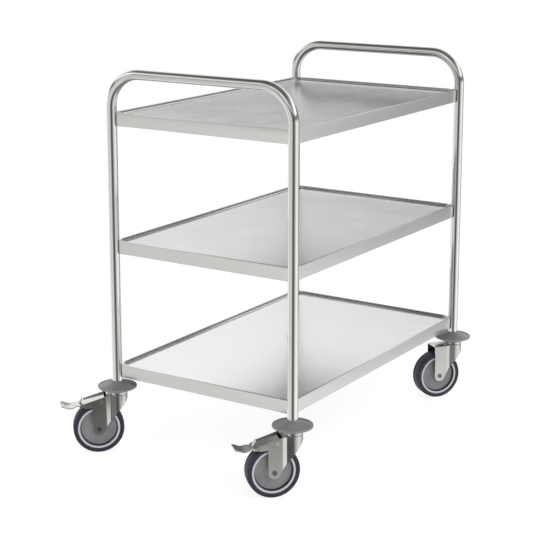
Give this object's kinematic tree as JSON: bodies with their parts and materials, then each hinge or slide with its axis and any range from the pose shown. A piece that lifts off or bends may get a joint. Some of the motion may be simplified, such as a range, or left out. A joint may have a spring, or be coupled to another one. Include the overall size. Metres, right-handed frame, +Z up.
{
  "type": "food service trolley",
  "caption": "Tiered stainless serving trolley: bent-tube end hoops form handles and legs, shallow trays, round bumpers and swivel casters, some with brake pedals.",
  "frame": {"origin": "on the floor at the middle of the footprint's bounding box, turned casters and pedals included; the trolley's own middle is 35.3 mm from it along +X and 34.6 mm along -Y", "axes": "+X along the trolley from the braked end to the other end, +Y to its left, +Z up"},
  "size_m": [0.9876, 0.6702, 0.946],
  "materials": {
    "tube_steel": "polished stainless steel tube",
    "tray_steel": "brushed stainless steel sheet, grain along the trolley",
    "weld_steel": "ground weld metal",
    "fork_steel": "pressed steel, bright zinc plate",
    "zinc_steel": "bright zinc plate",
    "bumper_plastic": "grey soft plastic, slightly satin",
    "wheel_plastic": "grey moulded polypropylene",
    "bush_plastic": "black nylon",
    "tyre_rubber": "dark blue-grey solid rubber",
    "sleeve_rubber": "black rubber"
  },
  "bodies": {
    "frame": {"handle_rear": "tube_steel", "handle_front": "tube_steel", "tray_top": "tray_steel", "tray_middle": "tray_steel", "tray_bottom": "tray_steel", "channels_top": "tray_steel", "channels_middle": "tray_steel", "channels_bottom": "tray_steel", "corner_welds": "weld_steel", "bumper_rear_left": "bumper_plastic", "bumper_rear_right": "bumper_plastic", "bumper_front_right": "bumper_plastic", "bumper_front_left": "bumper_plastic", "stem_rear_left": "zinc_steel", "stem_rear_right": "zinc_steel", "stem_front_right": "zinc_steel", "stem_front_left": "zinc_steel", "expander_rear_left": "sleeve_rubber", "expander_rear_right": "sleeve_rubber", "expander_front_right": "sleeve_rubber", "expander_front_left": "sleeve_rubber", "swivel_race_rear_left": "zinc_steel", "swivel_race_rear_right": "zinc_steel", "swivel_race_front_right": "zinc_steel", "swivel_race_front_left": "zinc_steel"},
    "swivel_rear_left": {"fork_rear_left": "fork_steel", "axle_bolt_rear_left": "zinc_steel", "axle_nut_rear_left": "zinc_steel", "brake_pin_rear_left": "zinc_steel"},
    "wheel_rear_left": {"wheel_core_rear_left": "wheel_plastic", "wheel_bushes_rear_left": "bush_plastic", "tyre_rear_left": "tyre_rubber"},
    "pedal_rear_left": {"brake_pedal_rear_left": "fork_steel", "brake_shoe_rear_left": "sleeve_rubber"},
    "swivel_rear_right": {"fork_rear_right": "fork_steel", "axle_bolt_rear_right": "zinc_steel", "axle_nut_rear_right": "zinc_steel", "brake_pin_rear_right": "zinc_steel"},
    "wheel_rear_right": {"wheel_core_rear_right": "wheel_plastic", "wheel_bushes_rear_right": "bush_plastic", "tyre_rear_right": "tyre_rubber"},
    "pedal_rear_right": {"brake_pedal_rear_right": "fork_steel", "brake_shoe_rear_right": "sleeve_rubber"},
    "swivel_front_right": {"fork_front_right": "fork_steel", "axle_bolt_front_right": "zinc_steel", "axle_nut_front_right": "zinc_steel"},
    "wheel_front_right": {"wheel_core_front_right": "wheel_plastic", "wheel_bushes_front_right": "bush_plastic", "tyre_front_right": "tyre_rubber"},
    "swivel_front_left": {"fork_front_left": "fork_steel", "axle_bolt_front_left": "zinc_steel", "axle_nut_front_left": "zinc_steel"},
    "wheel_front_left": {"wheel_core_front_left": "wheel_plastic", "wheel_bushes_front_left": "bush_plastic", "tyre_front_left": "tyre_rubber"}
  },
  "joints": [
    {"name": "swivel_turn_rear_left", "type": "hinge", "parent": "frame", "child": "swivel_rear_left", "pos_m": [-0.37574, 0.21842, 0.145], "axis": [0, 0, 1], "continuous": true},
    {"name": "wheel_roll_rear_left", "type": "hinge", "parent": "swivel_rear_left", "child": "wheel_rear_left", "pos_m": [-0.40848, 0.25352, 0.0625], "axis": [-0.7314, -0.682, 0], "continuous": true},
    {"name": "brake_press_rear_left", "type": "hinge", "parent": "swivel_rear_left", "child": "pedal_rear_left", "pos_m": [-0.40438, 0.24914, 0.1315], "axis": [-0.7314, -0.682, 0], "range_deg": [0, 7]},
    {"name": "swivel_turn_rear_right", "type": "hinge", "parent": "frame", "child": "swivel_rear_right", "pos_m": [-0.37574, -0.28758, 0.145], "axis": [0, 0, 1], "continuous": true},
    {"name": "wheel_roll_rear_right", "type": "hinge", "parent": "swivel_rear_right", "child": "wheel_rear_right", "pos_m": [-0.41141, -0.25546, 0.0625], "axis": [-0.6691, -0.7431, 0], "continuous": true},
    {"name": "brake_press_rear_right", "type": "hinge", "parent": "swivel_rear_right", "child": "pedal_rear_right", "pos_m": [-0.40695, -0.25948, 0.1315], "axis": [-0.6691, -0.7431, 0], "range_deg": [0, 7]},
    {"name": "swivel_turn_front_right", "type": "hinge", "parent": "frame", "child": "swivel_front_right", "pos_m": [0.44626, -0.28758, 0.145], "axis": [0, 0, 1], "continuous": true},
    {"name": "wheel_roll_front_right", "type": "hinge", "parent": "swivel_front_right", "child": "wheel_front_right", "pos_m": [0.40743, -0.25937, 0.0625], "axis": [-0.5878, -0.809, 0], "continuous": true},
    {"name": "swivel_turn_front_left", "type": "hinge", "parent": "frame", "child": "swivel_front_left", "pos_m": [0.44626, 0.21842, 0.145], "axis": [0, 0, 1], "continuous": true},
    {"name": "wheel_roll_front_left", "type": "hinge", "parent": "swivel_front_left", "child": "wheel_front_left", "pos_m": [0.40792, 0.24731, 0.0625], "axis": [-0.6018, -0.7986, 0], "continuous": true}
  ]
}
